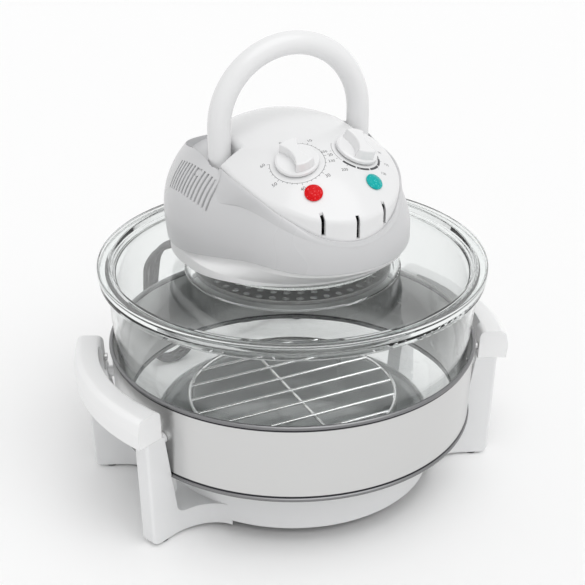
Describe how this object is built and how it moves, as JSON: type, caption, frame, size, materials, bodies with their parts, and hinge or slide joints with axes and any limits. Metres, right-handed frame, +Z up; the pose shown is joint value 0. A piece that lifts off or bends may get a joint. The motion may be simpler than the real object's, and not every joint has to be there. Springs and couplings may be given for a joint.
{
  "type": "halogen oven",
  "caption": "Countertop halogen oven: a glass bowl in a white stand with a steel band, under a glass lid that carries a fan-oven head with two dials and a folding carry handle.",
  "frame": {"origin": "on the table, under the middle of the bowl", "axes": "+Z up, the controls face -Y, the side grips lie on -X and +X"},
  "size_m": [0.3978, 0.4756, 0.4128],
  "materials": {
    "white_plastic": "smooth white moulding",
    "grip_plastic": "satin white moulding",
    "panel_plastic": "smooth white panel with printed dials",
    "band_steel": "brushed sheet with rolled edges",
    "bright_wire": "polished wire",
    "fastener_steel": "plated screws",
    "clear_glass": "clear heatproof glass",
    "lamp_glass": "quartz tube",
    "foot_rubber": "matt",
    "seal_rubber": "translucent silicone",
    "sheet_metal": "pressed bright sheet",
    "lamination_steel": "stacked laminations",
    "winding": "taped winding",
    "unit_body": "dark moulded housing",
    "shaft_metal": "turned",
    "red_lens": "clear red lens",
    "teal_lens": "clear blue-green lens",
    "cord_rubber": "dark grey flexible cord",
    "pin_brass": "bright"
  },
  "bodies": {
    "stand": {"stand_base": "white_plastic", "left_grip": "grip_plastic", "right_grip": "grip_plastic", "grip_screws": "fastener_steel", "rubber_feet": "foot_rubber", "steel_band": "band_steel", "band_screws": "fastener_steel"},
    "bowl": {"glass_bowl": "clear_glass"},
    "rack": {"cooking_rack": "bright_wire"},
    "lid": {"lid_glass": "clear_glass", "neck_seal": "seal_rubber", "head_skirt": "white_plastic", "head_shell": "white_plastic", "control_cover": "panel_plastic", "cover_screws": "fastener_steel", "timer_unit": "unit_body", "thermostat_unit": "unit_body", "power_lamp": "red_lens", "heat_lamp": "teal_lens", "lamp_holders": "unit_body", "safety_switch": "unit_body", "reflector_pan": "sheet_metal", "guard_plate": "sheet_metal", "guard_posts": "fastener_steel", "halogen_tube": "lamp_glass", "tube_clips": "fastener_steel", "heat_shield": "sheet_metal", "motor_bracket": "sheet_metal", "motor_stator": "lamination_steel", "motor_coils": "winding", "terminal_block": "unit_body", "cord_relief": "cord_rubber", "cord": "cord_rubber", "cord_tail": "cord_rubber", "cord_hank": "cord_rubber", "plug": "cord_rubber", "plug_pins": "pin_brass"},
    "handle": {"carry_handle": "white_plastic", "handle_pins": "shaft_metal"},
    "plunger": {"switch_plunger": "unit_body"},
    "timer": {"timer_knob": "white_plastic", "timer_shaft": "shaft_metal"},
    "thermostat": {"temperature_knob": "white_plastic", "thermostat_shaft": "shaft_metal"},
    "rotor": {"rotor_shaft": "shaft_metal", "convection_fan": "sheet_metal", "cooling_fan": "unit_body"}
  },
  "joints": [
    {"name": "bowl_lift", "type": "slide", "parent": "stand", "child": "bowl", "axis": [0, 0, 1], "range_m": [0, 0.26]},
    {"name": "rack_lift", "type": "slide", "parent": "bowl", "child": "rack", "axis": [0, 0, 1], "range_m": [0, 0.1]},
    {"name": "lid_lift", "type": "slide", "parent": "bowl", "child": "lid", "axis": [0, 0, 1], "range_m": [0, 0.4]},
    {"name": "handle_fold", "type": "hinge", "parent": "lid", "child": "handle", "pos_m": [0, 0.005, 0.303], "axis": [-1, 0, 0], "range_deg": [0, 90]},
    {"name": "plunger_push", "type": "slide", "parent": "lid", "child": "plunger", "axis": [0, 0, -1], "range_m": [0, 0.0015]},
    {"name": "timer_turn", "type": "hinge", "parent": "lid", "child": "timer", "pos_m": [-0.0268, -0.0635, 0.32635], "axis": [0.2407, 0.3369, -0.9103], "range_deg": [0, 300]},
    {"name": "thermostat_turn", "type": "hinge", "parent": "lid", "child": "thermostat", "pos_m": [0.0268, -0.0635, 0.32635], "axis": [-0.2407, 0.3369, -0.9103], "range_deg": [0, 270]},
    {"name": "rotor_spin", "type": "hinge", "parent": "lid", "child": "rotor", "pos_m": [0, 0, 0.264], "axis": [0, 0, 1], "continuous": true}
  ],
  "couplings": [
    {"joint": "plunger_push", "follows": "handle_fold", "m_per_rad": 0.00095493}
  ]
}
